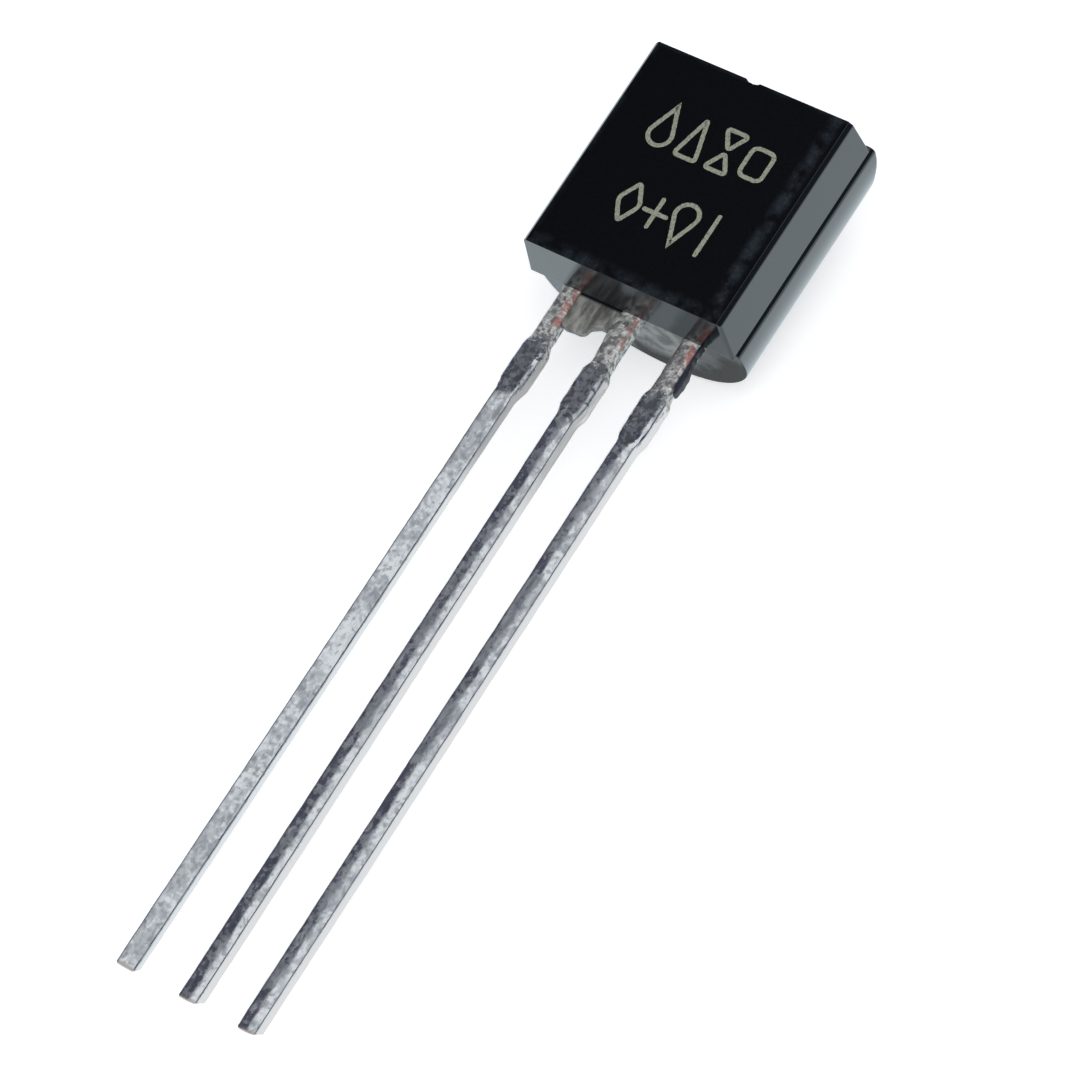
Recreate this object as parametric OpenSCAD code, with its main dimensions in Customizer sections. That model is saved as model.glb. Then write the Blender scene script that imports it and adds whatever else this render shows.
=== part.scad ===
// Small-signal transistor in a moulded half-round package, with three stamped leads in a row.
// It lies as it comes to rest: rounded back down, marked flat up, lead tips on the surface.
// Each piece is drawn upright first: x across the flat, y from the flat to the rounded back,
// z up from the edge where the leads leave the moulding. lay_down() then turns it to rest.

/* [Moulding] */
// Height of each half of the moulding, measured at the seam
body_h = 4.64; // [4.3:0.02:5]
// Width of the front half at the seam
front_w = 4.32; // [4.1:0.02:4.7]
// Depth of the front half, from the flat to the seam
front_depth = 1.02; // [0.9:0.02:1.3]
// Bevel along the two upright edges of the flat
edge_bevel = 0.07; // [0.02:0.01:0.15]
// Width of the rear half between its two flat side walls
back_w = 4.24; // [4.1:0.02:4.36]
// Radius of the rounded back
back_r = 2.2; // [2.18:0.01:2.4]
// Distance from the seam back to the centre of that radius
back_set = 0.06; // [0.02:0.01:0.3]
// Draft of every moulded wall, in degrees from the seam's square
draft = 4.5; // [2:0.5:7]
// How far the rear mould half stands to the right of the front one
mould_shift_x = 0.09; // [0:0.01:0.12]
// How far the rear mould half stands above the front one
mould_shift_z = 0.09; // [0:0.01:0.12]

/* [Mould marks] */
// Width of the gate scar on the top edge
gate_w = 0.3; // [0.2:0.02:0.6]
// Depth of the gate scar below the top edge
gate_cut = 0.04; // [0.02:0.01:0.1]
// Length of the gate scar, from the flat towards the seam
gate_run = 0.5; // [0.2:0.05:0.9]
// Diameter of the ejector mark on the rounded back
ejector_d = 1.2; // [0.8:0.05:1.6]
// Depth of the ejector mark below the rearmost line
ejector_depth = 0.13; // [0.1:0.01:0.25]
// Width of the flash tongue beside the emitter lead
flash_w = 0.46; // [0.2:0.02:0.6]
// Length of the flash tongue below the moulding
flash_drop = 0.68; // [0.3:0.02:0.9]
// Radius of the flash tongue's lower corners
flash_r = 0.1; // [0.04:0.01:0.1]
// Thickness of the flash tongue
flash_t = 0.2; // [0.1:0.02:0.24]

/* [Leads] */
// Distance from one lead to the next
lead_pitch = 1.27; // [1.2:0.01:1.35]
// Width of a lead
lead_w = 0.38; // [0.32:0.01:0.46]
// Thickness of the lead strip
lead_t = 0.36; // [0.32:0.01:0.42]
// Length of a lead below the moulding
lead_l = 14.5; // [12.7:0.05:16]
// Radius of a lead's long edges
lead_edge_r = 0.06; // [0.03:0.01:0.1]
// Distance from the moulding to the trimmed tie bar
tie_drop = 1.12; // [0.9:0.02:1.6]
// Length of the trimmed tie bar along the lead
tie_l = 0.88; // [0.6:0.02:1.2]
// How far the tie bar's stubs stand out of the lead
tie_out = 0.09; // [0.04:0.01:0.16]
// How much shorter a sheared tip is at its back than at its front
tip_rise = 0.16; // [0:0.02:0.3]
// Lean of the lead frame in the mould towards the base lead, in degrees
frame_lean = 0.6; // [0:0.1:1]

/* [Lead frame inside] */
// Gap between neighbouring parts of the lead frame
frame_gap = 0.3; // [0.2:0.02:0.4]
// Height of the bonding posts' lower edges above the moulding's lower edge
post_z = 0.75; // [0.6:0.05:0.95]
// Width of a bonding post
post_w = 1.2; // [1.05:0.05:1.3]
// Height of a bonding post
post_h = 0.7; // [0.6:0.05:0.85]
// Radius of the locking notch in a post's outer edge
notch_r = 0.16; // [0.08:0.01:0.22]
// Width of the die paddle
paddle_w = 1.9; // [1.6:0.05:2.3]
// Height of the die paddle
paddle_h = 1.75; // [1.6:0.05:1.85]
// Diameter of the locking hole in the paddle
lock_hole_d = 0.44; // [0.3:0.02:0.56]
// Rim of metal above the locking hole
lock_rim = 0.2; // [0.12:0.02:0.26]

/* [Chip and wires] */
// Side of the square silicon chip
chip_w = 0.44; // [0.36:0.02:0.6]
// Thickness of the chip
chip_t = 0.2; // [0.14:0.01:0.26]
// Height of the chip's centre above the paddle's lower edge
chip_rise = 0.58; // [0.5:0.02:0.64]
// Thickness of the die-attach layer
attach_t = 0.02; // [0.015:0.005:0.04]
// How far the die-attach layer shows round the chip
attach_rim = 0.03; // [0.01:0.01:0.06]
// Thickness of a bond wire
wire_d = 0.03; // [0.025:0.005:0.04]
// Height of a bond wire's loop above the chip
loop_h = 0.24; // [0.18:0.02:0.34]
// Diameter of the bond at each end of a wire
bond_d = 0.09; // [0.07:0.01:0.11]
// Height of the bond at each end of a wire
bond_h = 0.02; // [0.01:0.005:0.03]

/* [Hidden] */

$fn = 96;
eps = 0.01;        // how far a cutter runs past the face it opens
wire_sides = 6;    // sides of a bond wire
wire_steps = 14;   // lengths that a bond wire's loop is bent from

// Moulding
back_depth = back_set + back_r;
back_y = front_depth + back_depth;
front_draft = front_depth * tan(draft);
back_draft = back_depth * tan(draft);
bevel_x = front_w / 2 - (front_depth - edge_bevel) * tan(draft);
gate_top = body_h - front_draft;

// Lead frame
post_in = lead_w / 2 + frame_gap;
post_mid = post_in + post_w / 2;
post_top = post_z + post_h;
paddle_z = post_top + frame_gap;
paddle_top = paddle_z + paddle_h;

// Chip and wires
attach_y = front_depth - attach_t;
chip_y = attach_y - chip_t;
chip_z = paddle_z + chip_rise;
pad_x = chip_w / 4;
post_mid_z = post_z + post_h / 2;

// At rest: the rear lower edge of the moulding and the lead tips touch the surface
rim_z = mould_shift_z + back_draft;
tip_z = lead_l * cos(frame_lean) + (lead_pitch + lead_w / 2 - lead_edge_r) * sin(frame_lean);
tilt = atan((back_depth - lead_t) / (tip_z - tip_rise * cos(frame_lean) + rim_z));
mid_x = max(0, mould_shift_x - (front_w - back_w) / 2) / 2;
far_y = max((mould_shift_z + body_h - back_draft) * cos(tilt),
            (mould_shift_z + body_h) * cos(tilt) - back_depth * sin(tilt));
near_y = -tip_z * cos(tilt) - back_depth * sin(tilt);

module lay_down() {
    translate([-mid_x, -(far_y + near_y) / 2, -rim_z * sin(tilt)])
        rotate([tilt, 0, 0])
            translate([0, 0, back_y]) rotate([-90, 0, 0]) children();
}

// The lead frame, its chip and its wires stand a little askew in the mould, all as one
module lean() { rotate([0, -frame_lean, 0]) children(); }

// ---------------------------------------------------------------- moulding

// Walls as seen from the side, drafted at top and bottom, drawn from the seam outwards
module side_walls(width, depth, rise, height) {
    rotate([90, 0, 90]) linear_extrude(width, center = true)
        polygon([[0, 0], [0, height], [depth, height - rise], [depth, rise]]);
}

module front_half() {
    half = front_w / 2;
    flat = bevel_x - edge_bevel;
    intersection() {
        linear_extrude(body_h)
            polygon([[-flat, 0], [flat, 0], [bevel_x, edge_bevel], [half, front_depth],
                     [-half, front_depth], [-bevel_x, edge_bevel]]);
        translate([0, front_depth, 0]) mirror([0, 1, 0])
            side_walls(2 * front_w, front_depth, front_draft, body_h);
    }
}

module back_half() {
    translate([mould_shift_x, front_depth, mould_shift_z])
        intersection() {
            linear_extrude(body_h) intersection() {
                translate([0, back_set]) circle(back_r);
                translate([-back_w / 2, 0]) square([back_w, back_depth]);
            }
            side_walls(3 * back_r, back_depth, back_draft, body_h);
        }
}

module gate_scar() {
    translate([-gate_w / 2, -eps, gate_top - gate_cut])
        cube([gate_w, gate_run + eps, 1]);
}

module ejector_mark() {
    translate([mould_shift_x, back_y - ejector_depth, mould_shift_z + body_h / 2])
        rotate([-90, 0, 0]) cylinder(d = ejector_d, h = 1);
}

// A tongue of flash that squeezed out along the emitter lead, from its middle to one side
module flash_tongue() {
    reach = lead_w / 2 + flash_w;
    translate([-lead_pitch, front_depth + (lead_t + flash_t) / 2, 0])
        rotate([90, 0, 0]) linear_extrude(flash_t) {
            translate([0, flash_r - flash_drop])
                square([reach, flash_drop - flash_r + post_z / 2]);
            translate([0, -flash_drop]) square([reach - flash_r, 2 * flash_r]);
            translate([reach - flash_r, flash_r - flash_drop]) circle(flash_r);
        }
}

module body() {
    color([0.05, 0.05, 0.055]) lay_down() difference() {
        union() {
            front_half();
            back_half();
            flash_tongue();
        }
        gate_scar();
        ejector_mark();
        lean() {
            emitter_lead_upright();
            collector_lead_upright();
            base_lead_upright();
            chip_upright();
            attach_upright();
            wire_upright(-1);
            wire_upright(1);
        }
    }
}

// ---------------------------------------------------------------- leads

// The strip's section: a rectangle with rounded long edges
module strip_section() {
    r = lead_edge_r;
    translate([-lead_w / 2, r]) square([lead_w, lead_t - 2 * r]);
    translate([r - lead_w / 2, 0]) square([lead_w - 2 * r, lead_t]);
    for (x = [r - lead_w / 2, lead_w / 2 - r], y = [r, lead_t - r])
        translate([x, y]) circle(r);
}

// A lead from its sheared tip up to a height inside the moulding, centred on x = 0
module strip(top) {
    difference() {
        union() {
            translate([0, 0, -lead_l]) linear_extrude(lead_l + top) strip_section();
            translate([-lead_w / 2 - tie_out, 0, -tie_drop - tie_l])
                cube([lead_w + 2 * tie_out, lead_t, tie_l]);
        }
        translate([0, 0, -lead_l]) rotate([atan(tip_rise / lead_t), 0, 0])
            translate([-lead_w, -lead_t, -lead_t]) cube([2 * lead_w, 3 * lead_t, lead_t]);
    }
}

// The strip of one outer lead with its bonding post; side is -1 on the left, 1 on the right
module outer_lead(side) {
    translate([side * lead_pitch, front_depth, 0]) strip(post_z + eps);
    difference() {
        translate([side * post_mid - post_w / 2, front_depth, post_z])
            cube([post_w, lead_t, post_h]);
        translate([side * (post_in + post_w), front_depth - eps, post_mid_z])
            rotate([-90, 0, 0]) cylinder(r = notch_r, h = lead_t + 2 * eps);
    }
}

module emitter_lead_upright() { outer_lead(-1); }

module base_lead_upright() { outer_lead(1); }

module collector_lead_upright() {
    translate([0, front_depth, 0]) strip(paddle_z + eps);
    difference() {
        translate([-paddle_w / 2, front_depth, paddle_z]) cube([paddle_w, lead_t, paddle_h]);
        translate([0, front_depth - eps, paddle_top - lock_rim - lock_hole_d / 2])
            rotate([-90, 0, 0]) cylinder(d = lock_hole_d, h = lead_t + 2 * eps);
    }
}

module emitter_lead() { color([0.78, 0.78, 0.76]) lay_down() lean() emitter_lead_upright(); }

module collector_lead() { color([0.78, 0.78, 0.76]) lay_down() lean() collector_lead_upright(); }

module base_lead() { color([0.78, 0.78, 0.76]) lay_down() lean() base_lead_upright(); }

// ---------------------------------------------------------------- chip and wires

module attach_upright() {
    side = chip_w + 2 * attach_rim;
    translate([-side / 2, attach_y, chip_z - side / 2]) cube([side, attach_t, side]);
}

module chip_upright() {
    translate([-chip_w / 2, chip_y, chip_z - chip_w / 2]) cube([chip_w, chip_t, chip_w]);
}

// The loop rises from the chip and comes down on the post as half an ellipse whose foot
// drops from the chip's face to the post's
function loop_from(side) = [side * pad_x, chip_y, chip_z];
function loop_to(side) = [side * post_mid, front_depth, post_mid_z];
function loop_run(side) =
    norm([loop_to(side)[0] - loop_from(side)[0], loop_to(side)[2] - loop_from(side)[2]]);
function loop_dir(side) =
    [loop_to(side)[0] - loop_from(side)[0], 0, loop_to(side)[2] - loop_from(side)[2]]
    / loop_run(side);
function loop_mid(side, a) =
    loop_from(side) + loop_dir(side) * loop_run(side) * (1 - cos(a)) / 2
    + [0, (front_depth - chip_y) * (1 - cos(a)) / 2 - loop_h * sin(a), 0];

// Ring of the wire at angle a of the loop, square to the half ellipse
function loop_ring(side, a) =
    let (along = loop_run(side) / 2 * sin(a), rise = loop_h * cos(a),
         len = norm([along, rise]),
         out = loop_dir(side) * rise / len + [0, along / len, 0],
         across = [loop_dir(side)[2], 0, -loop_dir(side)[0]])
    [for (k = [0 : wire_sides - 1])
        loop_mid(side, a)
        + wire_d / 2 * (out * cos(360 * k / wire_sides) + across * sin(360 * k / wire_sides))];

module wire_loop(side) {
    rings = [for (i = [0 : wire_steps]) each loop_ring(side, 180 * i / wire_steps)];
    n = wire_sides;
    walls = [for (i = [0 : wire_steps - 1], k = [0 : n - 1])
        let (a = i * n + k, b = i * n + (k + 1) % n) each [[a, b, b + n], [a, b + n, a + n]]];
    start = [for (k = [n - 1 : -1 : 0]) k];
    end = [for (k = [0 : n - 1]) wire_steps * n + k];
    polyhedron(rings, concat(walls, [start, end]));
}

module bond(at) {
    translate([at[0], at[1] - bond_h, at[2]]) rotate([-90, 0, 0])
        cylinder(d = bond_d, h = bond_h, $fn = 12);
}

module wire_upright(side) {
    wire_loop(side);
    bond(loop_from(side));
    bond(loop_to(side));
}

module chip() { color([0.35, 0.36, 0.4]) lay_down() lean() chip_upright(); }

module die_attach() { color([0.7, 0.7, 0.68]) lay_down() lean() attach_upright(); }

module emitter_wire() { color([0.9, 0.7, 0.3]) lay_down() lean() wire_upright(-1); }

module base_wire() { color([0.9, 0.7, 0.3]) lay_down() lean() wire_upright(1); }

body();
emitter_lead();
collector_lead();
base_lead();
chip();
die_attach();
emitter_wire();
base_wire();
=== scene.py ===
from math import asin, atan, ceil, cos, degrees, hypot, pi, radians, sin, sqrt, tan

import bmesh
import bpy
from mathutils import Matrix, Vector, noise


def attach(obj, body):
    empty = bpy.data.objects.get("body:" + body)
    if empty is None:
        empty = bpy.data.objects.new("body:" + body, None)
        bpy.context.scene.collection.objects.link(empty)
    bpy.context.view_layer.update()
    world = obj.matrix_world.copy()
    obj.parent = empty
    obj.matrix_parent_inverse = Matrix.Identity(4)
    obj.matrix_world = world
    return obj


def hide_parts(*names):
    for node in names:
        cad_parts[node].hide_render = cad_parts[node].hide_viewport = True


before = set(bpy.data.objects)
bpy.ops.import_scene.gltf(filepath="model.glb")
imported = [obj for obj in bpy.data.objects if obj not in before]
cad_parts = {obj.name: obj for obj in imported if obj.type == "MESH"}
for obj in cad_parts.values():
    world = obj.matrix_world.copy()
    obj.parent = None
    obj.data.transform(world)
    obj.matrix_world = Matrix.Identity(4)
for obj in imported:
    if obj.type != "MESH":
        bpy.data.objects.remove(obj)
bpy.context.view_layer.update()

# ------------------------------------------------------------------ moulding
# The package is black epoxy, moulded in one shot round the lead frame in a two-part mould. The
# front half carries the flat and tapers towards it; the rounded rear half stands a little up and
# to the right, because the mould halves never meet exactly.

# Sizes are in millimetres, drawn upright: x across the flat, y from the flat to the back, z up
# from where the leads leave the resin
MM = 0.001
MOULD_H = 4.64
FRONT_W = 4.32      # the front half, measured at the seam
FRONT_DEPTH = 1.02
EDGE_BEVEL = 0.07   # beside the flat
BACK_W = 4.24
BACK_R = 2.2
BACK_SET = 0.06     # from the seam to the centre of the round back
DRAFT = radians(4.5)
SHIFT_X = 0.09      # how far the rear half stands off the front half
SHIFT_Z = 0.09
BACK_DEPTH = BACK_SET + BACK_R
BACK_Y = FRONT_DEPTH + BACK_DEPTH
BEVEL_X = FRONT_W / 2 - (FRONT_DEPTH - EDGE_BEVEL) * tan(DRAFT)
FLAT_X = BEVEL_X - EDGE_BEVEL
FLAT_LOW = FRONT_DEPTH * tan(DRAFT)
FLAT_TOP = MOULD_H - FLAT_LOW
TOUCH = 1e-4        # how near a point has to be to lie on a plane

LEAD_PITCH = 1.27
LEAD_W = 0.38
LEAD_T = 0.36
LEAD_L = 14.5
LEAD_EDGE_R = 0.06
TIP_RISE = 0.16     # how much the shears drew up the tips' rear edge
FRAME_LEAN = radians(0.6)

# The transistor lies on its rear lower rim and its lead tips
RIM_Z = SHIFT_Z + BACK_DEPTH * tan(DRAFT)
TIP_Z = LEAD_L * cos(FRAME_LEAN) + (LEAD_PITCH + LEAD_W / 2 - LEAD_EDGE_R) * sin(FRAME_LEAN)
TILT = atan((BACK_DEPTH - LEAD_T) / (TIP_Z - TIP_RISE * cos(FRAME_LEAN) + RIM_Z))
MID_X = max(0, SHIFT_X - (FRONT_W - BACK_W) / 2) / 2
TOP_Z = SHIFT_Z + MOULD_H
FAR_Y = max((TOP_Z - BACK_DEPTH * tan(DRAFT)) * cos(TILT),
            TOP_Z * cos(TILT) - BACK_DEPTH * sin(TILT))
NEAR_Y = -TIP_Z * cos(TILT) - BACK_DEPTH * sin(TILT)
LAY_DOWN = (
    Matrix.Scale(MM, 4)
    @ Matrix.Translation((-MID_X, -(FAR_Y + NEAR_Y) / 2, -RIM_Z * sin(TILT)))
    @ Matrix.Rotation(TILT, 4, "X")
    @ Matrix.Translation((0, 0, BACK_Y))
    @ Matrix.Rotation(-pi / 2, 4, "X")
)
LEAN = Matrix.Rotation(-FRAME_LEAN, 4, "Y")


def put_in_scene(name, data):
    made = bpy.data.objects.new(name, data)
    bpy.context.scene.collection.objects.link(made)
    return made


def new_piece(name, bm):
    """An object from a drawn mesh, still upright and in millimetres."""
    mesh = bpy.data.meshes.new(name)
    bmesh.ops.recalc_face_normals(bm, faces=bm.faces)
    bm.to_mesh(mesh)
    bm.free()
    return put_in_scene(name, mesh)


def settle(piece):
    """Turns the piece's modifiers into plain mesh."""
    graph = bpy.context.evaluated_depsgraph_get()
    mesh = bpy.data.meshes.new_from_object(piece.evaluated_get(graph))
    piece.modifiers.clear()
    piece.data = mesh


def keep_place(mesh, name):
    """Keeps on a mesh, for its materials, where each of its points is now."""
    kept = mesh.attributes.new(name, "FLOAT_VECTOR", "POINT")
    for vertex in mesh.vertices:
        kept.data[vertex.index].vector = vertex.co


def lay(piece, materials):
    """Lays a drawn piece down in its place, with its materials, as part of the transistor."""
    mesh = piece.data
    keep_place(mesh, "drawn")
    mesh.transform(LAY_DOWN)
    for made in materials:
        mesh.materials.append(made)
    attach(piece, "root")


def new_points(made):
    """The points among what an extrusion made."""
    return [part for part in made["geom"] if isinstance(part, bmesh.types.BMVert)]


def skin(bm, rings):
    """Joins rings of (x, y, z) points, one after another, into a closed solid."""
    rows = [[bm.verts.new(point) for point in ring] for ring in rings]
    count = len(rows[0])
    for a, b in zip(rows, rows[1:]):
        for k in range(count):
            n = (k + 1) % count
            bm.faces.new((a[k], a[n], b[n], b[k]))
    bm.faces.new(list(reversed(rows[0])))
    bm.faces.new(rows[-1])


SEAM_R = 0.12       # the rear half's edge along the seam
TOP_RIM_R = (0.03, 0.2)     # the rear half's top rim, at the seam and at the back
LOW_RIM_R = (0.03, 0.06)
RIM_GROWS = (0.1, 0.9)      # how far from the seam a rim starts to widen, and where it ends
CROWN = 0.5         # how far from the seam the rear half's top starts to slope
ARC_START = radians(27)     # where the round back starts, measured from the seam
SIDE_PULL = 0.35    # how far the bend between the flat side and the arc is drawn along each
SEAM_STEPS, SIDE_STEPS, BACK_STEPS, RIM_STEPS = 8, 16, 60, 7


def smooth(value, start, end):
    """0 at start and 1 at end, with a smooth rise between them; start may be the larger."""
    t = max(0, min(1, (value - start) / (end - start)))
    return t * t * (3 - 2 * t)


def back_outline():
    """The rear half's outline as (point, outward way) pairs, from the seam round to the seam."""
    half = BACK_W / 2
    seam = [(Vector((half - SEAM_R * (1 - cos(a)), SEAM_R * (1 - sin(a)))),
             Vector((cos(a), -sin(a))))
            for a in (pi / 2 * (1 - k / SEAM_STEPS) for k in range(SEAM_STEPS + 1))]
    end = Vector((BACK_R * cos(ARC_START), BACK_SET + BACK_R * sin(ARC_START)))
    along = Vector((-sin(ARC_START), cos(ARC_START)))
    a, b, c, d = Vector((half, SEAM_R)), Vector((half, SIDE_PULL)), end - SIDE_PULL * along, end
    side = []
    for k in range(1, SIDE_STEPS):
        t = k / SIDE_STEPS
        ab, bc, cd = a.lerp(b, t), b.lerp(c, t), c.lerp(d, t)
        abc, bcd = ab.lerp(bc, t), bc.lerp(cd, t)
        way = (bcd - abc).normalized()
        side.append((abc.lerp(bcd, t), Vector((way.y, -way.x))))
    right = seam + side
    arc = [ARC_START + (pi - 2 * ARC_START) * k / BACK_STEPS for k in range(BACK_STEPS + 1)]
    round_part = [(Vector((BACK_R * cos(a), BACK_SET + BACK_R * sin(a))), Vector((cos(a), sin(a))))
                  for a in arc]
    left = [(Vector((-point.x, point.y)), Vector((-way.x, way.y))) for point, way in reversed(right)]
    return right + round_part + left


def back_half():
    """The rear half: its outline in rings, drawn in towards both ends to round their rims."""
    def low_z(y):
        return SHIFT_Z + y * tan(DRAFT)

    def top_z(y):
        return TOP_Z - max(0, y - CROWN) * BACK_DEPTH / (BACK_DEPTH - CROWN) * tan(DRAFT)

    outline = back_outline()
    rings = []
    for height, up, rim, order in ((low_z, 1, LOW_RIM_R, range(RIM_STEPS + 1)),
                                   (top_z, -1, TOP_RIM_R, range(RIM_STEPS, -1, -1))):
        for k in order:
            a = pi / 2 * k / RIM_STEPS
            ring = []
            for point, way in outline:
                r = rim[0] + (rim[1] - rim[0]) * smooth(point.y, *RIM_GROWS)
                x, y = point - way * r * (1 - sin(a))
                z = height(y) + up * r * (1 - cos(a))
                ring.append((x + SHIFT_X, max(0, y) + FRONT_DEPTH, z))
            rings.append(ring)
    bm = bmesh.new()
    skin(bm, rings)
    return new_piece("back_half", bm)


EDGE_R = 0.07       # the widest rounding of the front half, at its low right corner
SHARE_PLAIN, SHARE_FLAT, SHARE_SEAM, SHARE_LEFT = 0.35, 0.09, 0.15, 0.6     # of that, elsewhere


def front_half():
    """The front half: a drafted block with a bevel beside the flat and every edge rounded."""
    half = FRONT_W / 2
    outline = [(-FLAT_X, 0), (FLAT_X, 0), (BEVEL_X, EDGE_BEVEL), (half, FRONT_DEPTH),
               (-half, FRONT_DEPTH), (-BEVEL_X, EDGE_BEVEL)]
    bm = bmesh.new()
    rises = [(x, y, (FRONT_DEPTH - y) * tan(DRAFT)) for x, y in outline]
    skin(bm, [rises, [(x, y, MOULD_H - rise) for x, y, rise in rises]])
    weight = bm.edges.layers.float.new("bevel_weight_edge")
    for edge in bm.edges:
        ends = [vert.co for vert in edge.verts]
        edge[weight] = SHARE_PLAIN
        if all(end.y < TOUCH for end in ends):
            edge[weight] = SHARE_FLAT
        elif all(end.y > FRONT_DEPTH - TOUCH for end in ends):
            edge[weight] = SHARE_SEAM
        elif all(end.z < FLAT_LOW and end.x > BEVEL_X - TOUCH for end in ends):
            edge[weight] = 1.0
        elif (abs(ends[0].z - ends[1].z) < FLAT_LOW
              and all(end.x < TOUCH - BEVEL_X for end in ends)):
            edge[weight] = SHARE_LEFT
    piece = new_piece("moulding", bm)
    rounding = piece.modifiers.new("rounding", "BEVEL")
    rounding.limit_method = "WEIGHT"
    rounding.width = EDGE_R
    rounding.segments = 5
    settle(piece)
    return piece


GATE_W, GATE_CUT, GATE_SLOPE = 0.3, 0.05, 0.26
GATE_STEPS = 12
GATE_ROWS = (-0.05, 0.04, 0.1, 0.16, 0.22, 0.3)     # the scar's rows of points, by their y
GATE_ROUGH = 0.022
TOOL_SPARE = 0.5    # how far the cutting tools stand out of the resin
EJECTOR_D, EJECTOR_DEPTH = 1.2, 0.13


def gate_cut():
    """The tool for the gate's scar, where the resin came in and was snapped off: a chip in the
    flat's top edge, with a rough floor that slopes back."""
    bm = bmesh.new()
    scar = []
    for k in range(GATE_STEPS + 1):
        x = GATE_W * (k / GATE_STEPS - 0.5)
        ends = 1 - (2 * x / GATE_W) ** 4
        row = []
        for y in GATE_ROWS:
            dip = GATE_ROUGH * noise.noise(Vector((x * 14, y * 12, 2)))
            row.append(bm.verts.new((x, y, FLAT_TOP - GATE_CUT * ends + dip + y * GATE_SLOPE)))
        scar.append(row)
    for a, b in zip(scar, scar[1:]):
        for j in range(len(GATE_ROWS) - 1):
            bm.faces.new((a[j], a[j + 1], b[j + 1], b[j]))
    lifted = bmesh.ops.extrude_face_region(bm, geom=bm.faces[:], use_keep_orig=True)
    bmesh.ops.translate(bm, vec=(0, 0, TOOL_SPARE), verts=new_points(lifted))
    return new_piece("gate_cut", bm)


def ejector_cut():
    """The tool for the round mark that an ejector pin left in the middle of the back."""
    bm = bmesh.new()
    bmesh.ops.create_cone(
        bm, cap_ends=True, segments=64, radius1=EJECTOR_D / 2, radius2=EJECTOR_D / 2,
        depth=2 * TOOL_SPARE,
        matrix=Matrix.Translation((SHIFT_X, BACK_Y - EJECTOR_DEPTH + TOOL_SPARE, SHIFT_Z + MOULD_H / 2))
        @ Matrix.Rotation(pi / 2, 4, "X"))
    return new_piece("ejector_cut", bm)


def combine(tool, operation):
    """Joins a tool to the moulding, or cuts it out, as soon as the moulding is settled."""
    cut = moulding.modifiers.new(tool.name, "BOOLEAN")
    cut.operation = operation
    cut.solver = "EXACT"
    cut.object = tool
    return tool


WALL, FLAT, BROKEN, SPARKED = range(4)
SCAR_DEPTH, SCAR_H = 0.29, 0.1      # how far from the flat and from its top edge the scar can lie
SCAR_SINK = 0.004                   # and how far at least below the face round it


def finish_of(face):
    """Which of the resin's four finishes a face of the moulding has."""
    centre, normal = face.center, face.normal
    in_gate = (abs(centre.x) < GATE_W / 2 and centre.y < SCAR_DEPTH
               and centre.z > FLAT_TOP - SCAR_H)
    if normal.y < -0.98 and centre.y < 0.01:
        return FLAT
    if in_gate and centre.z < FLAT_TOP - SCAR_SINK + centre.y * tan(DRAFT) and normal.z > 0.2:
        return BROKEN
    if centre.y > FRONT_DEPTH and normal.z < -0.4:
        return SPARKED
    return WALL


moulding = front_half()
tools = [combine(back_half(), "UNION"), combine(gate_cut(), "DIFFERENCE"),
         combine(ejector_cut(), "DIFFERENCE")]
settle(moulding)
for tool in tools:
    bpy.data.objects.remove(tool)
for face in moulding.data.polygons:
    face.material_index = finish_of(face)
    face.use_smooth = True
moulding.data.set_sharp_from_angle(angle=radians(30))
even = moulding.modifiers.new("even_shading", "WEIGHTED_NORMAL")
even.keep_sharp = True
even.weight = 100
settle(moulding)


def effect(name, inputs, outputs):
    """A shader group that has only its named sockets, with its input and output nodes."""
    tree = bpy.data.node_groups.new(name, "ShaderNodeTree")
    for label, kind, value in inputs:
        socket = tree.interface.new_socket(label, in_out="INPUT", socket_type=kind)
        if value is not None:
            socket.default_value = value
    for label, kind in outputs:
        tree.interface.new_socket(label, in_out="OUTPUT", socket_type=kind)
    return tree, tree.nodes.new("NodeGroupInput"), tree.nodes.new("NodeGroupOutput")


def connect(tree, value, socket):
    """Links a (node, output) pair to a socket, or sets the socket to a plain value."""
    if isinstance(value, tuple) and isinstance(value[0], bpy.types.Node):
        tree.links.new(value[0].outputs[value[1]], socket)
    else:
        socket.default_value = value


def add(tree, kind, links=None, **settings):
    """Adds a node; links maps its inputs to values or to (node, output) pairs."""
    node = tree.nodes.new(kind)
    for key, value in settings.items():
        setattr(node, key, value)
    for key, value in (links or {}).items():
        connect(tree, value, node.inputs[key])
    return node


FLOAT, VECTOR = "NodeSocketFloat", "NodeSocketVector"

# Grain: fine and coarse unevenness of a surface, as a height and as a mask of its high spots
grain, g_in, g_out = effect(
    "grain",
    [("Place", VECTOR, None), ("Grains per mm", FLOAT, 20.0), ("Roughness", FLOAT, 0.6),
     ("Swirl", FLOAT, 0.0), ("Low", FLOAT, 0.4), ("High", FLOAT, 0.7)],
    [("Height", FLOAT), ("Mask", FLOAT)])
fine = add(grain, "ShaderNodeTexNoise",
           {"Vector": (g_in, "Place"), "Scale": (g_in, "Grains per mm"), "Detail": 5.0,
            "Roughness": (g_in, "Roughness"), "Distortion": (g_in, "Swirl")})
spots = add(grain, "ShaderNodeMapRange",
            {"Value": (fine, "Fac"), "From Min": (g_in, "Low"), "From Max": (g_in, "High")},
            interpolation_type="SMOOTHSTEP")
grain.links.new(fine.outputs["Fac"], g_out.inputs["Height"])
grain.links.new(spots.outputs["Result"], g_out.inputs["Mask"])


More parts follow.
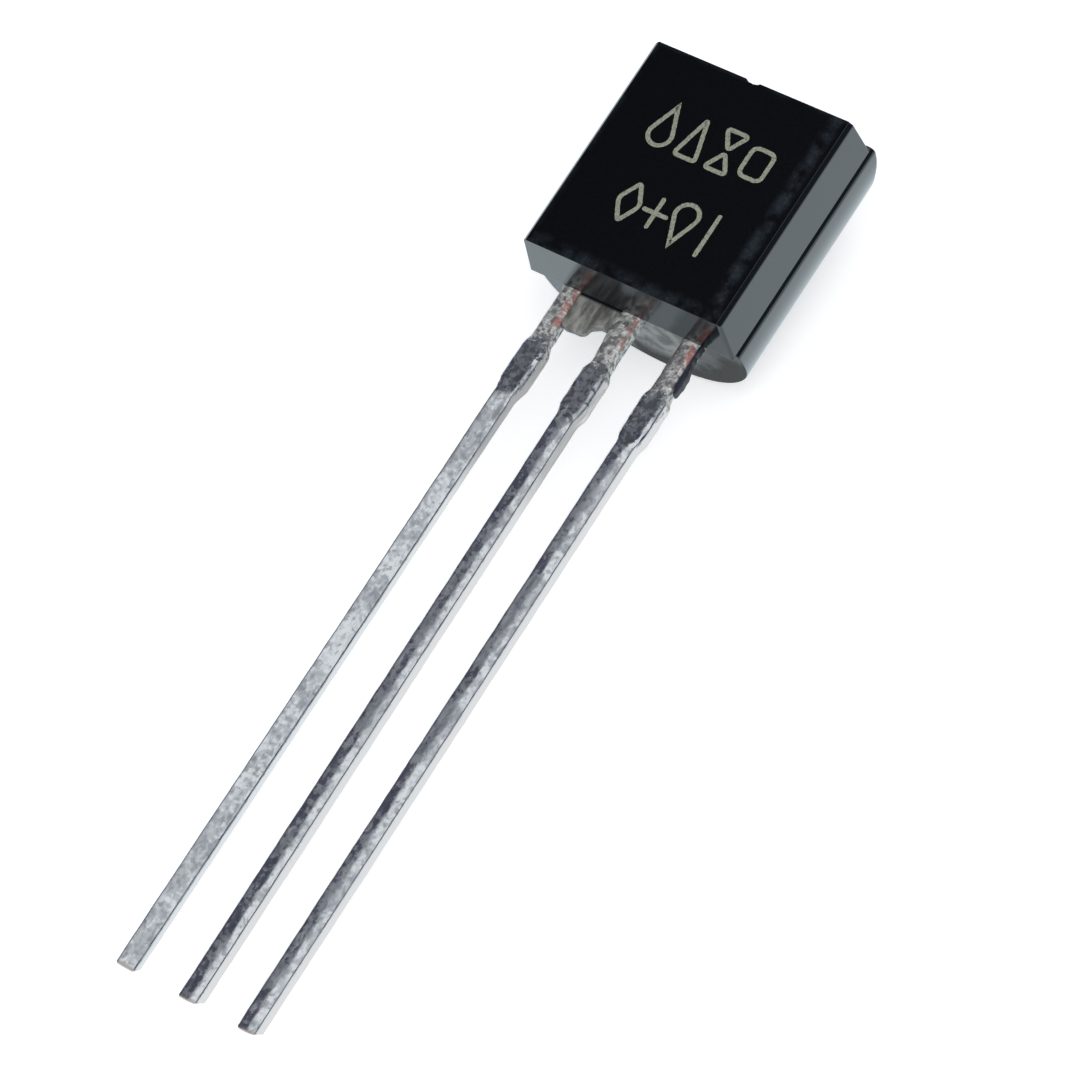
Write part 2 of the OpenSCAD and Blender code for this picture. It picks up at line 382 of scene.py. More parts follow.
def new_material(name, colour, roughness, metallic=0.0):
    """A plain material; returns it with its tree and its shader."""
    made = bpy.data.materials.new(name)
    made.use_nodes = True
    shader = made.node_tree.nodes["Principled BSDF"]
    shader.inputs["Base Color"].default_value = (*colour, 1)
    shader.inputs["Roughness"].default_value = roughness
    shader.inputs["Metallic"].default_value = metallic
    return made, made.node_tree, shader


def place_of(tree, kept="drawn"):
    """The place kept on the mesh before it was laid down, and its x, y and z."""
    place = add(tree, "ShaderNodeAttribute", attribute_name=kept)
    axes = add(tree, "ShaderNodeSeparateXYZ", {"Vector": (place, "Vector")})
    return (place, "Vector"), (axes, "X"), (axes, "Y"), (axes, "Z")


def use(tree, group, **values):
    """Places an effect; underscores in the names stand for spaces."""
    node = tree.nodes.new("ShaderNodeGroup")
    node.node_tree = group
    for key, value in values.items():
        connect(tree, value, node.inputs[key.replace("_", " ")])
    return node


def ramp(tree, value, start, end):
    """0 up to start and 1 from end on, smooth between them; start may be the larger."""
    return add(tree, "ShaderNodeMapRange", {"Value": value, "From Min": start, "From Max": end},
               interpolation_type="SMOOTHSTEP"), 0


def calc(tree, operation, a, b=0.0):
    """One step of arithmetic on values or on nodes' outputs."""
    return add(tree, "ShaderNodeMath", {0: a, 1: b}, operation=operation), 0


def times(tree, first, *others):
    """The product of two or more values."""
    for other in others:
        first = calc(tree, "MULTIPLY", first, other)
    return first


def band(tree, value, rise, fall):
    """1 between two borders, each given as the places where it is still 0 and already 1."""
    return times(tree, ramp(tree, value, *rise), ramp(tree, value, *fall))


def mix_colour(tree, fac, a, b):
    """Blends two colours, each given as (r, g, b) or as a node's output."""
    a, b = (c if isinstance(c[0], bpy.types.Node) else (*c, 1) for c in (a, b))
    return add(tree, "ShaderNodeMix", {0: fac, 6: a, 7: b}, data_type="RGBA"), 2


def mix_value(tree, fac, a, b):
    """Blends two values, each given as a number or as a node's output."""
    return add(tree, "ShaderNodeMix", {0: fac, 2: a, 3: b}, data_type="FLOAT"), 0


def feed(tree, source, shader, name):
    """Lets a node's output drive one of the shader's inputs."""
    connect(tree, source, shader.inputs[name])


def bump(tree, shader, height, depth):
    """Raises the surface by up to a depth, in millimetres, where height is 1."""
    node = add(tree, "ShaderNodeBump", {"Height": height, "Strength": 1.0, "Distance": depth * MM})
    feed(tree, (node, "Normal"), shader, "Normal")


POLISHED, POLISHED_DUST = (0.003, 0.005, 0.008), (0.012, 0.015, 0.018)
GRIME_SLANT = 0.53      # how far to the left the grime's borders run for each millimetre of depth
GRIME_START, GRIME_END = (-0.96, -0.84), (2.1, 1.95)        # its borders, on the flat's edge
CLEAN_START, CLEAN_END = (0.72, 1.0), (1.45, 1.2)           # a cleaner stretch between two leads
CLEAN_SHARE = 0.75
GRIME_TOP = (0.14, 0.1)


def polished_epoxy():
    """The walls: a glossy skin that mirrors what is near it. On the face that the leads leave, a
    film of grime from handling and soldering takes the gloss away around them."""
    made, tree, shader = new_material("moulding_wall", POLISHED, 0.1)
    shader.inputs["Coat IOR"].default_value = 1.36
    shader.inputs["Coat Roughness"].default_value = 0.09
    place, x, y, z = place_of(tree)
    cloud = use(tree, grain, Place=place, Grains_per_mm=3.0, Low=0.4, High=0.65)
    dust = use(tree, grain, Place=place, Grains_per_mm=40.0, Low=0.62, High=0.8)
    slant = calc(tree, "ADD", x, times(tree, y, GRIME_SLANT))
    wander = times(tree, calc(tree, "SUBTRACT", (cloud, "Height"), 0.5), 0.4)
    clean = band(tree, calc(tree, "ADD", slant, wander), CLEAN_START, CLEAN_END)
    grime = times(tree, band(tree, slant, GRIME_START, GRIME_END),
                  calc(tree, "SUBTRACT", 1.0, times(tree, clean, CLEAN_SHARE)),
                  ramp(tree, z, *GRIME_TOP))
    feed(tree, calc(tree, "SUBTRACT", 1.0, grime), shader, "Coat Weight")
    feed(tree, mix_colour(tree, (dust, "Mask"), POLISHED, POLISHED_DUST), shader, "Base Color")
    feed(tree, mix_value(tree, (cloud, "Mask"), 0.07, 0.12), shader, "Roughness")
    bump(tree, shader, (dust, "Height"), 0.001)
    return made


MATT, HAZE = (0.0006, 0.0008, 0.0014), (0.024, 0.033, 0.043)
HAZE_RIGHT = (FLAT_X - 0.44, FLAT_X - 0.24), (FLAT_X - 0.04, FLAT_X - 0.18)
HAZE_LOW = FLAT_LOW + 0.34, FLAT_LOW + 0.06
HAZE_LEFT, HAZE_TOP = (0.12 - FLAT_X, -FLAT_X), (FLAT_TOP - 0.1, FLAT_TOP)      # fainter there


def matt_epoxy():
    """The flat: fine even grain, and a soft pale haze beside its right and lower edges."""
    made, tree, shader = new_material("moulding_flat", MATT, 0.22)
    shader.inputs["IOR"].default_value = 1.42
    place, x, _, z = place_of(tree)
    cloud = use(tree, grain, Place=place, Grains_per_mm=3.2, Roughness=0.5, Low=0.34, High=0.66)
    dust = use(tree, grain, Place=place, Grains_per_mm=15.0, Low=0.4, High=0.74)
    haze = calc(tree, "MAXIMUM", band(tree, x, *HAZE_RIGHT), times(tree, ramp(tree, z, *HAZE_LOW), 0.8))
    for edge in (ramp(tree, x, *HAZE_LEFT), ramp(tree, z, *HAZE_TOP)):
        haze = calc(tree, "MAXIMUM", haze, times(tree, edge, 0.5))
    soft = times(tree, (cloud, "Mask"), mix_value(tree, (dust, "Mask"), 0.5, 1.0))
    faint = times(tree, (dust, "Mask"), 0.04)
    amount = calc(tree, "MAXIMUM", times(tree, haze, soft), faint)
    feed(tree, mix_colour(tree, amount, MATT, HAZE), shader, "Base Color")
    feed(tree, mix_value(tree, amount, 0.2, 0.4), shader, "Roughness")
    bump(tree, shader, (dust, "Height"), 0.002)
    return made


BROKEN_DARK, BROKEN_PALE = (0.02, 0.02, 0.022), (0.09, 0.09, 0.1)


def broken_epoxy():
    """Grainy pale resin where the gate snapped off."""
    made, tree, shader = new_material("moulding_broken", BROKEN_DARK, 0.55)
    place = place_of(tree)[0]
    grit = use(tree, grain, Place=place, Grains_per_mm=20.0, Low=0.4, High=0.65)
    feed(tree, mix_colour(tree, (grit, "Mask"), BROKEN_DARK, BROKEN_PALE), shader, "Base Color")
    bump(tree, shader, (grit, "Height"), 0.012)
    return made


SPARKED_RIGHT = (0.05, 0.05, 0.048), (0.15, 0.15, 0.14)     # its dark and pale clouds
# Painted light: the left is paler than the right, and the far left is paler and bluer still
SPARKED_LIT_LEFT = (0.11, 0.112, 0.108), (0.36, 0.365, 0.35)
SPARKED_LIT_END = (0.13, 0.15, 0.17)        # the far left
# Painted shade: darker and brown towards the lower rim on the right
RIM_SHADE_BROWN = (0.022, 0.019, 0.016)
# Painted shade, near black, in the crease along the seam and along the flash's top
SEAM_SHADE = (0.004, 0.005, 0.012)
RIM_FROM, RIM_LEFT = (1.4, 1.85), (-0.9, -0.4)      # where the brown sets in
RIM_BACK = FRONT_DEPTH + 0.1, FRONT_DEPTH + 0.5
LIT_LEFT_FROM, LIT_END_FROM = (1.1, 0.6), (-1.1, -1.35)
CREASE_Y, CREASE_X = (FRONT_DEPTH + 0.3, FRONT_DEPTH + 0.22), (2.1, 1.4)


def sparked_epoxy():
    """The rear half's lower end, from a spark-eroded mould: cloudy pale grey. Painted light makes it
    paler towards its left and bluer at its far left; painted shade makes it brown and darker towards
    its rim, and dark in the crease along the seam.
    """
    made, tree, shader = new_material("moulding_sparked", SPARKED_RIGHT[0], 0.4)
    place, x, y, _ = place_of(tree)
    cloud = use(tree, grain, Place=place, Grains_per_mm=3.2, Roughness=0.5, Low=0.36, High=0.62)
    grit = use(tree, grain, Place=place, Grains_per_mm=24.0, Low=0.4, High=0.65)
    middle = (SHIFT_X, FRONT_DEPTH + BACK_SET, RIM_Z)
    out = add(tree, "ShaderNodeVectorMath", {0: place, 1: middle}, operation="DISTANCE")
    out = calc(tree, "ADD", (out, "Value"), calc(tree, "SUBTRACT", (cloud, "Height"), 0.5))
    rim = times(tree, ramp(tree, out, *RIM_FROM), ramp(tree, y, *RIM_BACK), ramp(tree, x, *RIM_LEFT))
    # Painted light: paler towards the left, and bluer at the far left
    lit_to_left = ramp(tree, x, *LIT_LEFT_FROM)
    dark, pale = (mix_colour(tree, lit_to_left, *sides) for sides in zip(SPARKED_RIGHT, SPARKED_LIT_LEFT))
    shade = mix_colour(tree, (cloud, "Mask"), dark, pale)
    # Painted shade, brown, towards the rim
    shade = mix_colour(tree, rim, shade, RIM_SHADE_BROWN)
    shade = mix_colour(tree, ramp(tree, x, *LIT_END_FROM), shade, SPARKED_LIT_END)
    # Painted shade in the crease along the seam
    crease_shade = times(tree, ramp(tree, y, *CREASE_Y), ramp(tree, x, *CREASE_X))
    feed(tree, mix_colour(tree, crease_shade, shade, SEAM_SHADE), shader, "Base Color")
    coarse = mix_value(tree, rim, 0.36, 0.56)
    feed(tree, calc(tree, "ADD", coarse, times(tree, (grit, "Mask"), 0.1)), shader, "Roughness")
    bump(tree, shader, (grit, "Height"), 0.006)
    return made


lay(moulding, [polished_epoxy(), matt_epoxy(), broken_epoxy(), sparked_epoxy()])
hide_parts("body")

# ------------------------------------------------------------------ flash
# Thin resin squeezed out at the seam where the mould closed on the lead frame. A tongue of it hangs
# beside the emitter lead and thins out into a web as far as the collector lead, and a scrap clings
# to the right side of the base lead.

FLASH_W, FLASH_DROP, FLASH_T = 0.44, 0.7, 0.2
FLASH_EDGE_R = 0.05
WEB_DROP = 0.42     # how far the web hangs down
TONGUE_CORNERS = (0, 0.2, 0.07, 0.05, 0.05, 0, 0)       # their radii
SCRAP_DROP, SCRAP_T, SCRAP_EDGE_R = 1.02, 0.18, 0.03
RAGGED = 0.02       # how far the flash's edges run in and out
FLASH_DARK, FLASH_PALE = (0.1, 0.098, 0.09), (0.36, 0.358, 0.335)
SCRAP_DARK, SCRAP_PALE = (0.008, 0.009, 0.015), (0.035, 0.037, 0.055)


def resin_plate(name, outline, y, thick, round_r):
    """A flake of resin: an outline of (x, z) points with its edges rounded over."""
    bm = bmesh.new()
    face = bm.faces.new([bm.verts.new((x, y, z)) for x, z in outline])
    moved = bmesh.ops.extrude_face_region(bm, geom=[face], use_keep_orig=True)
    bmesh.ops.translate(bm, vec=(0, thick, 0), verts=new_points(moved))
    piece = new_piece(name, bm)
    edge_r = piece.modifiers.new("rounding", "BEVEL")
    edge_r.width, edge_r.segments, edge_r.angle_limit = round_r, 4, radians(40)
    settle(piece)
    for face in piece.data.polygons:
        face.use_smooth = True
    return piece


def rounded_path(points, radii, steps=5):
    """A closed path with its corners turned into curves, each cut back by its radius."""
    made = []
    for k, corner in enumerate(points):
        here = Vector(corner)
        radius = radii[k % len(radii)]
        if radius == 0:
            made.append(tuple(here))
            continue
        behind, ahead = Vector(points[k - 1]), Vector(points[(k + 1) % len(points)])
        start = here.lerp(behind, radius / (behind - here).length)
        end = here.lerp(ahead, radius / (ahead - here).length)
        for j in range(steps + 1):
            t = j / steps
            made.append(tuple(start.lerp(here, t).lerp(here.lerp(end, t), t)))
    return made


def ragged(points, seed, step=0.03):
    """The same outline in short steps, each point moved a little in and out."""
    made = []
    for k, (ax, az) in enumerate(points):
        bx, bz = points[(k + 1) % len(points)]
        parts = max(1, ceil(hypot(bx - ax, bz - az) / step))
        for j in range(parts):
            x, z = ax + (bx - ax) * j / parts, az + (bz - az) * j / parts
            made.append((x + RAGGED * noise.noise(Vector((x * 8, z * 8, seed))),
                         z + RAGGED * noise.noise(Vector((x * 8, z * 8, seed + 5)))))
    return made


def flash_resin(name, dark, pale):
    """Resin so thin that it looks grey-brown, streaked in the way that it crept out, with painted shade
    along its top where it meets the moulding.
    """
    made, tree, shader = new_material(name, dark, 0.45)
    place, _, _, z = place_of(tree)
    along = add(tree, "ShaderNodeVectorMath", {0: place, 1: (1.0, 0.6, 0.3)}, operation="MULTIPLY")
    veins = use(tree, grain, Place=(along, "Vector"), Grains_per_mm=6.5, Low=0.35, High=0.66)
    grit = use(tree, grain, Place=place, Grains_per_mm=18.0, Low=0.5, High=0.7)
    shade = mix_colour(tree, (veins, "Mask"), dark, pale)
    # Painted shade along the top, under the moulding's lower face
    shade = mix_colour(tree, ramp(tree, z, -0.06, 0.01), shade, SEAM_SHADE)
    feed(tree, shade, shader, "Base Color")
    feed(tree, mix_value(tree, (grit, "Mask"), 0.4, 0.6), shader, "Roughness")
    bump(tree, shader, (veins, "Height"), 0.02)
    return made


left = LEAD_W / 2 - LEAD_PITCH - 0.05
right = LEAD_W / 2 - LEAD_PITCH + FLASH_W
web_end = 0.01 - LEAD_W / 2
tongue = rounded_path(
    [(left, 0.1), (left, -FLASH_DROP), (right, 0.04 - FLASH_DROP), (right + 0.07, -WEB_DROP - 0.08),
     (right + 0.2, -WEB_DROP), (web_end, 0.02 - WEB_DROP), (web_end, 0.1)],
    TONGUE_CORNERS)
piece = resin_plate("flash_tongue", ragged(tongue, 3),
                    FRONT_DEPTH + (LEAD_T - FLASH_T) / 2, FLASH_T, FLASH_EDGE_R)
lay(piece, [flash_resin("flash_resin", FLASH_DARK, FLASH_PALE)])

side = LEAD_PITCH + LEAD_W / 2
scrap = [(side + out, z) for out, z in (
    (-0.04, 0.05), (-0.05, -0.62), (0.02, -0.88), (0.05, -SCRAP_DROP), (0.09, 0.03 - SCRAP_DROP),
    (0.12, -0.8), (0.11, -0.6), (0.05, -0.42), (0.03, -0.2), (0.04, 0.05))]
piece = resin_plate("flash_scrap", ragged(scrap, 8), FRONT_DEPTH + 0.06, SCRAP_T, SCRAP_EDGE_R)
lay(piece, [flash_resin("scrap_resin", SCRAP_DARK, SCRAP_PALE)])

# ------------------------------------------------------------------ mark
# Two rows of plain figures that a laser burned into the flat. It bleaches the resin to a pale
# grey and leaves it a little rough, in strokes under a tenth of a millimetre wide.

STROKE_W, STROKE_H, STROKE_STEP = 0.084, 0.004, 0.022
WOBBLE = 0.16       # how much a stroke's width varies
MARK_CORNER_R, SQUARE_CORNER_R = 0.09, 0.14
WAIST = 0.03        # half the gap in the hourglass
# Each row's height on the flat, its first figure's place, its pitch, its figures' size and names
ROW_1 = (3.12, -0.95, 0.64, 0.84, ("drop", "triangle", "hourglass", "square"))
ROW_2 = (1.52, -0.72, 0.55, 0.84, ("diamond", "plus", "falling_drop", "bar"))


def stroke(bm, points, closed, height, seed):
    """A ribbon along a path on the flat, round at its ends, with slightly uneven edges."""
    count = len(points)
    path = []
    for k in range(count if closed else count - 1):
        a, b = Vector(points[k]), Vector(points[(k + 1) % count])
        parts = max(1, ceil((b - a).length / STROKE_STEP))
        path += [(a.lerp(b, j / parts), 1.0) for j in range(parts)]
    if not closed:
        path.append((Vector(points[-1]), 1.0))
        first, last = Vector(points[0]), Vector(points[-1])
        out_first = (first - Vector(points[1])).normalized() * STROKE_W / 2
        out_last = (last - Vector(points[-2])).normalized() * STROKE_W / 2
        turns = [radians(a) for a in (25, 50, 75, 88)]
        path = ([(first + out_first * sin(a), cos(a)) for a in reversed(turns)] + path
                + [(last + out_last * sin(a), cos(a)) for a in turns])
    total = len(path)
    sides = []
    for k, (here, share) in enumerate(path):
        back = path[k - 1][0] if closed or k else here * 2 - path[1][0]
        ahead = path[(k + 1) % total][0] if closed or k < total - 1 else here * 2 - path[k - 1][0]
        before, after = (here - back).normalized(), (ahead - here).normalized()
        along = (before + after).normalized()
        out = Vector((-along.y, along.x)) / max(0.4, along.dot(after))
        pair = []
        for sign in (-1, 1):
            wobble = WOBBLE * noise.noise(Vector((here.x * 20, here.y * 20, seed + sign)))
            p = here + out * sign * share * (STROKE_W / 2) * (1 + wobble)
            pair.append(bm.verts.new((p.x, -height, p.y)))
        sides.append(pair)
    for k in range(total if closed else total - 1):
        a, b = sides[k], sides[(k + 1) % total]
        bm.faces.new((a[0], a[1], b[1], b[0]))


def drop_path(w, h, up):
    """A drop: round below and drawn to a point above, or the other way up."""
    bow = [(w * cos(radians(a)), up * (-h + w + w * sin(radians(a)))) for a in range(25, -206, -15)]
    return [(0, up * h)] + bow


def figure(bm, kind, x, z, high, seed):
    """One figure of the mark, centred on a point of the flat."""
    w, h, low = high * 0.27, high / 2, high * 0.36
    soft, softer = (MARK_CORNER_R,), (SQUARE_CORNER_R,)
    shapes = {
        "drop": [(drop_path(w, h, 1), True)],
        "falling_drop": [(drop_path(w, h, -1), True)],
        "triangle": [(rounded_path([(-w, -h), (0, h), (w, -h)], soft), True)],
        "hourglass": [(rounded_path([(-w, h), (w, h), (0, WAIST)], soft), True),
                      (rounded_path([(-w, -h), (w, -h), (0, -WAIST)], soft), True)],
        "square": [(rounded_path([(-w, -low), (-w, low), (w, low), (w, -low)], softer), True)],
        "diamond": [(rounded_path([(-w, 0), (0, h), (w, 0), (0, -h)], soft), True)],
        "plus": [([(-w, 0), (w, 0)], False), ([(0, -w * 1.3), (0, w * 1.3)], False)],
        "bar": [([(0, -h), (0, h)], False)],
    }
    for layer, (points, closed) in enumerate(shapes[kind]):
        stroke(bm, [(x + px, z + pz) for px, pz in points], closed, STROKE_H - 0.001 * layer, seed)


BURNED_DARK, BURNED_PALE = (0.1, 0.105, 0.085), (0.36, 0.37, 0.28)


def burned_resin():
    """Resin that the laser foamed up and bleached, greyish yellow and grainy."""
    made, tree, shader = new_material("burned_resin", BURNED_PALE, 0.7)
    place = place_of(tree)[0]
    ash = use(tree, grain, Place=place, Grains_per_mm=26.0, Low=0.25, High=0.6)
    feed(tree, mix_colour(tree, (ash, "Mask"), BURNED_DARK, BURNED_PALE), shader, "Base Color")
    bump(tree, shader, (ash, "Height"), 0.01)
    return made


bm = bmesh.new()
for z, x, pitch, high, kinds in (ROW_1, ROW_2):
    for k, kind in enumerate(kinds):
        figure(bm, kind, x + pitch * k, z, high, k + z)
lay(new_piece("mark", bm), [burned_resin()])

# ------------------------------------------------------------------ leads
# Three leads stamped from one copper strip and dipped in tin after moulding. The tie bar that held
# them in line was punched out, which left a short stub on each side, and the tips were sheared.
# Inside the moulding the outer leads end in bonding posts and the middle one in the die paddle.

TIE_DROP, TIE_L, TIE_OUT = 1.12, 0.88, 0.075        # the stub: its top, its height, its reach
STUB_TOP, STUB_END = 0.07 - TIE_DROP, 0.04 - TIE_DROP - TIE_L       # with its torn edges
SHOULDER_UP, SHOULDER_DOWN = 0.24, 0.34
STRIP_STEP = 0.05
FRAME_GAP, FRAME_LAP = 0.3, 0.05        # between the inner ends, and of the strip over them
POST_Z, POST_W, POST_H, NOTCH_R = 0.75, 1.2, 0.7, 0.16
PADDLE_W, PADDLE_H, LOCK_HOLE_D, LOCK_RIM = 1.9, 1.75, 0.44, 0.2
POST_IN = LEAD_W / 2 + FRAME_GAP
PADDLE_Z = POST_Z + POST_H + FRAME_GAP
CORNER_R = 0.03
BACK_EDGE_R = 0.06
TIP_EDGE_R = 0.035
TIP_DRAWN = 0.6     # the length over which the shears drew up the rear edge
TIP_SPARE = 0.004   # what the dipping left short of the frame's full length
WAVE = 0.012        # how much the tin's thickness varies along a lead
WORN_Z = (-2.4, -2.0)       # above this the strip is dented and its edges are worn
DENT_LOW, DENT_WORN = 0.004, 0.014
WORN_EDGE = (0.08, 0.07, 0.16)      # there: its left edge radius, its roll's width and radius
FLARE_Z = (-1.1, -0.2)
BOW_Z = -1.5        # where a lead starts to stray from its line
TWIST_NEAR, TWIST_FAR = (-2.05, -2.5), (-2.5, -6)


def section(half, left_r, roll_w, roll_r):
    """The strip's outline seen from its tip. Its right front edge is rolled over by the die: a
    wide shallow curve of a width and a radius that ends in a small corner."""
    def between(a, b, parts=6):
        return [(a[0] + (b[0] - a[0]) * j / parts, a[1] + (b[1] - a[1]) * j / parts)
                for j in range(1, parts)]

    drop = asin(roll_w / (roll_r - CORNER_R))
    corner_y = roll_r - (roll_r - CORNER_R) * cos(drop)
    back = LEAD_T - BACK_EDGE_R
    arcs = [(left_r - half, left_r, left_r, 180, 270, 5),
            (half - CORNER_R - roll_w, roll_r, roll_r, 270, 270 + degrees(drop), 8),
            (half - CORNER_R, corner_y, CORNER_R, 270 + degrees(drop), 360, 5),
            (half - BACK_EDGE_R, back, BACK_EDGE_R, 0, 90, 5),
            (BACK_EDGE_R - half, back, BACK_EDGE_R, 90, 180, 5)]
    loop = []
    for k, (x, y, r, start, end, steps) in enumerate(arcs):
        arc = [(x + r * cos(a), y + r * sin(a))
               for a in (radians(start + (end - start) * j / steps) for j in range(steps + 1))]
        if k == 2:
            arc = arc[1:]
        elif loop:
            loop += between(loop[-1], arc[0])
        loop += arc
    return loop + between(loop[-1], loop[0])


def stub_reach(z):
    """How far the tie bar's stub stands out at a height."""
    middle = -TIE_DROP - TIE_L / 2
    if z > middle:
        return TIE_OUT * smooth(z, STUB_TOP, STUB_TOP - SHOULDER_UP)
    return TIE_OUT * smooth(z, STUB_END - SHOULDER_DOWN, STUB_END)


def dent_of(x, y, z, worn, seed):
    """How deep the surface lies at a point, from dents in the copper and from uneven tin."""
    dents = 0.5 - 0.5 * noise.noise(Vector((x * 12, y * 12, z * 8 + seed * 31)))
    waves = 0.5 - 0.5 * noise.noise(Vector((x * 4, y * 4, z * 2.6 + seed * 17)))
    return (DENT_LOW + DENT_WORN * worn) * dents + WAVE * waves


def strip(bm, top, left_r, roll_w, roll_r, flare, seed):
    """The lead's strip in rings from its tip up to its inner end."""
    count = ceil((LEAD_L + top) / STRIP_STEP)
    heights = [-LEAD_L + (LEAD_L + top) * k / count for k in range(count + 1)]
    heights[1:1] = [-LEAD_L + share * TIP_EDGE_R for share in (0.12, 0.35, 0.65, 1)]
    rings = []
    for z in heights:
        worn = smooth(z, *WORN_Z)
        edges = [own + (dented - own) * worn
                 for own, dented in zip((left_r, roll_w, roll_r), WORN_EDGE)]
        above = min(1, (z + LEAD_L) / TIP_EDGE_R)
        tip_in = TIP_EDGE_R * (1 - sqrt(1 - (1 - above) ** 2))
        ring = []
        for x, y in section(LEAD_W / 2 + stub_reach(z), *edges):
            dent = tip_in + (dent_of(x, y, z, worn, seed) if z < 0 else 0)
            if x < 0 and z < 0:
                x -= flare * smooth(z, *FLARE_Z)
            inward = Vector((-x, LEAD_T / 2 - y)).normalized() * dent
            rise = TIP_RISE * y / LEAD_T * max(0, 1 - (z + LEAD_L) / TIP_DRAWN)
            ring.append((x + inward.x, y + inward.y, z + rise))
        rings.append(ring)
    skin(bm, rings)


def plate(bm, outline, holes=()):
    """A flat part of the lead frame: an outline of (x, z) points, as thick as the strip."""
    front = [bm.verts.new((x, 0, z)) for x, z in outline]
    edges = [bm.edges.new((front[k], front[(k + 1) % len(front)])) for k in range(len(front))]
    for hole in holes:
        ring = [bm.verts.new((x, 0, z)) for x, z in hole]
        edges += [bm.edges.new((ring[k], ring[(k + 1) % len(ring)])) for k in range(len(ring))]
    filled = bmesh.ops.triangle_fill(bm, use_beauty=True, use_dissolve=False, edges=edges)
    faces = [g for g in filled["geom"] if isinstance(g, bmesh.types.BMFace)]
    moved = bmesh.ops.extrude_face_region(bm, geom=faces, use_keep_orig=True)
    bmesh.ops.translate(bm, vec=(0, LEAD_T, 0), verts=new_points(moved))


def post_outline(side):
    """A bonding post beside the paddle's stem, with its locking notch in the outer edge."""
    mid = POST_IN + POST_W / 2 - LEAD_PITCH
    right, left = mid + POST_W / 2, mid - POST_W / 2
    notch = [(right + NOTCH_R * cos(a), POST_Z + POST_H / 2 + NOTCH_R * sin(a))
             for a in (radians(270 - 15 * k) for k in range(13))]
    top = POST_Z + POST_H
    points = [(left, POST_Z), (right, POST_Z), *notch, (right, top), (left, top)]
    return [(side * x, z) for x, z in points]


def lead(name, node, side, shape, flare=0, twist=0, drift=0):
    """One lead: wider on its left by flare at the resin, turned by twist below its stub, and out
    of true by drift at its tip. shape is its left edge radius and its roll's width and radius.
    All tips are sheared level with the moulding, so the lead frame's lean makes them unequal."""
    bm = bmesh.new()
    strip(bm, (PADDLE_Z if side == 0 else POST_Z) + FRAME_LAP, *shape, flare, side + 2)
    if side:
        plate(bm, post_outline(side))
    else:
        half, top = PADDLE_W / 2, PADDLE_Z + PADDLE_H
        hole_z = top - LOCK_RIM - LOCK_HOLE_D / 2
        hole = [(LOCK_HOLE_D / 2 * cos(a), hole_z + LOCK_HOLE_D / 2 * sin(a))
                for a in (2 * pi * k / 32 for k in range(32))]
        plate(bm, [(-half, PADDLE_Z), (half, PADDLE_Z), (half, top), (-half, top)], [hole])
    piece = new_piece(name, bm)
    keep_place(piece.data, "strip")
    middle = LEAD_T / 2
    for vertex in piece.data.vertices:
        x, y, z = vertex.co
        below = max(0, (z - BOW_Z) / (-BOW_Z - LEAD_L))
        turn = twist * (0.7 * smooth(z, *TWIST_NEAR) + 0.3 * smooth(z, *TWIST_FAR))
        low = (LEAD_W / 2 - BACK_EDGE_R) * sin(turn) + (middle - BACK_EDGE_R) * (cos(turn) - 1)
        vertex.co = (x * cos(turn) - (y - middle) * sin(turn) + drift * below,
                     x * sin(turn) + (y - middle) * cos(turn) + middle - low,
                     z - ((side + 1) * LEAD_PITCH * sin(FRAME_LEAN) - TIP_SPARE) * below)
    piece.data.transform(LEAN @ Matrix.Translation((side * LEAD_PITCH, FRONT_DEPTH, 0)))
    for face in piece.data.polygons:
        face.use_smooth = True
    piece.data.set_sharp_from_angle(angle=radians(50))
    lay(piece, [tin])
    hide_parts(node)


TIN, TIN_FILM, TIN_DROSS = (0.69, 0.7, 0.72), (0.5, 0.51, 0.53), (0.4, 0.415, 0.45)
# Painted light: the sides' tin is paler and warmer than the front's
TIN_SIDE_LIT = (0.87, 0.77, 0.73)
NECK_HIGH, NECK_LOW, NECK_SHADE = (0.96, 0.95, 0.91), (0.36, 0.345, 0.34), (0.15, 0.135, 0.13)
COPPER, TIP_COPPER = (0.82, 0.4, 0.34), (0.4, 0.29, 0.25)
BARE_PALE, BARE_DARK, BARE_SPECK = (0.38, 0.385, 0.41), (0.18, 0.185, 0.2), (0.97, 0.97, 1.0)
NECK_Z, COPPER_Z = (-1.3, -1.1), (-0.85, -0.6)
BARE_LOW, BARE_HIGH = (-2.35, -1.95), (-0.95, -1.3)
BARE_LEFT, BARE_RIGHT = (-0.26, -0.06), (0.18, 0.06)
FRONT_Y, SIDE_X, SIDE_Y = (0.1, 0.05), (0.17, 0.185), (0.1, 0.14)       # the strip's faces
COPPER_X, COPPER_Y, SHADE_X, SPECK_X = (0.03, 0.09), (0.14, 0.08), (0.0, -0.14), (-0.12, -0.18)


